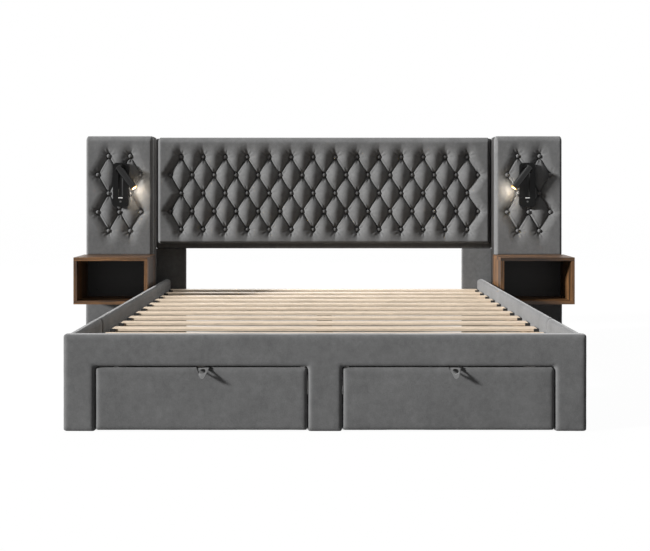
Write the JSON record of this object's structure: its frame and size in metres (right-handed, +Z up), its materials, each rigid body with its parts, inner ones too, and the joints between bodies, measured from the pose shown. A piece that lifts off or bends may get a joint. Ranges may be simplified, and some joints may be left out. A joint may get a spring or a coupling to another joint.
{
  "type": "platform bed with attached nightstands",
  "caption": "Upholstered platform bed with footboard drawers, a diamond-tufted headboard between projecting wings, floating wooden nightstands and swivelling reading lamps.",
  "frame": {"origin": "on the floor, under the middle of the overall box from the drawer pulls to the headboard's back", "axes": "+X to the right seen from the foot end, +Y from the foot end to the headboard, +Z up"},
  "size_m": [2.342, 2.1827, 1.008],
  "materials": {
    "upholstery": "short-pile woven upholstery, dull sheen",
    "back_cloth": "plain black lining",
    "walnut": "satin walnut veneer with dark streaks",
    "dark_board": "black-brown laminated board",
    "frame_board": "raw board",
    "drawer_wood": "clear-lacquered board",
    "slat_wood": "pale sanded bentwood",
    "holder_plastic": "moulded, matt",
    "black_steel": "powder coat",
    "slide_steel": "zinc plated",
    "polished_metal": "polished",
    "lamp_black": "gloss black paint",
    "gold_trim": "polished gold",
    "lens": "frosted, warm light",
    "port_white": "white insert",
    "switch_grey": "matt"
  },
  "bodies": {
    "bed": {"footboard": "upholstery", "bay_side_left": "upholstery", "bay_side_right": "upholstery", "side_rail_left": "upholstery", "side_rail_right": "upholstery", "bay_partitions": "frame_board", "bay_back": "frame_board", "slide_channels": "slide_steel", "ledger_left": "frame_board", "ledger_right": "frame_board", "slats": "slat_wood", "slat_holders": "holder_plastic", "centre_beam": "black_steel", "beam_legs": "black_steel", "beam_feet": "holder_plastic", "head_cross_rail": "frame_board", "corner_brackets": "slide_steel", "headboard_board": "upholstery", "headboard_legs": "upholstery", "headboard_pad": "upholstery", "headboard_buttons": "upholstery", "wing_box_left": "upholstery", "wing_cover_left": "back_cloth", "wing_pad_left": "upholstery", "wing_buttons_left": "upholstery", "nightstand_top_left": "walnut", "nightstand_bottom_left": "walnut", "nightstand_sides_left": "walnut", "nightstand_back_left": "dark_board", "lamp_base_left": "lamp_black", "lamp_port_left": "port_white", "wing_box_right": "upholstery", "wing_cover_right": "back_cloth", "wing_pad_right": "upholstery", "wing_buttons_right": "upholstery", "nightstand_top_right": "walnut", "nightstand_bottom_right": "walnut", "nightstand_sides_right": "walnut", "nightstand_back_right": "dark_board", "lamp_base_right": "lamp_black", "lamp_port_right": "port_white", "nightstand_bolts": "black_steel"},
    "drawer_left": {"drawer_front_left": "upholstery", "drawer_box_left": "drawer_wood", "drawer_bottom_left": "drawer_wood", "drawer_pulls_left": "polished_metal"},
    "lamp_arm_left": {"lamp_yoke_left": "lamp_black"},
    "lamp_head_left": {"lamp_tube_left": "lamp_black", "lamp_ring_left": "gold_trim", "lamp_lens_left": "lens"},
    "lamp_button_left": {"lamp_switch_left": "switch_grey"},
    "drawer_right": {"drawer_front_right": "upholstery", "drawer_box_right": "drawer_wood", "drawer_bottom_right": "drawer_wood", "drawer_pulls_right": "polished_metal"},
    "lamp_arm_right": {"lamp_yoke_right": "lamp_black"},
    "lamp_head_right": {"lamp_tube_right": "lamp_black", "lamp_ring_right": "gold_trim", "lamp_lens_right": "lens"},
    "lamp_button_right": {"lamp_switch_right": "switch_grey"}
  },
  "joints": [
    {"name": "drawer_left_slide", "type": "slide", "parent": "bed", "child": "drawer_left", "axis": [0, -1, 0], "range_m": [0, 0.3]},
    {"name": "lamp_left_swivel", "type": "hinge", "parent": "bed", "child": "lamp_arm_left", "pos_m": [-0.9925, 0.83134, 0.848], "axis": [0, -1, 0], "range_deg": [-37, 53]},
    {"name": "lamp_left_tilt", "type": "hinge", "parent": "lamp_arm_left", "child": "lamp_head_left", "pos_m": [-0.9925, 0.83134, 0.848], "axis": [-0.7986, 0, -0.6018], "range_deg": [0, 75]},
    {"name": "lamp_left_press", "type": "slide", "parent": "bed", "child": "lamp_button_left", "axis": [0, 1, 0], "range_m": [0, 0.0015], "stiffness_N_per_m": 600, "springref_m": -0.001},
    {"name": "drawer_right_slide", "type": "slide", "parent": "bed", "child": "drawer_right", "axis": [0, -1, 0], "range_m": [0, 0.3]},
    {"name": "lamp_right_swivel", "type": "hinge", "parent": "bed", "child": "lamp_arm_right", "pos_m": [0.9925, 0.83134, 0.848], "axis": [0, 1, 0], "range_deg": [-37, 53]},
    {"name": "lamp_right_tilt", "type": "hinge", "parent": "lamp_arm_right", "child": "lamp_head_right", "pos_m": [0.9925, 0.83134, 0.848], "axis": [-0.7986, 0, 0.6018], "range_deg": [0, 75]},
    {"name": "lamp_right_press", "type": "slide", "parent": "bed", "child": "lamp_button_right", "axis": [0, 1, 0], "range_m": [0, 0.0015], "stiffness_N_per_m": 600, "springref_m": -0.001}
  ]
}
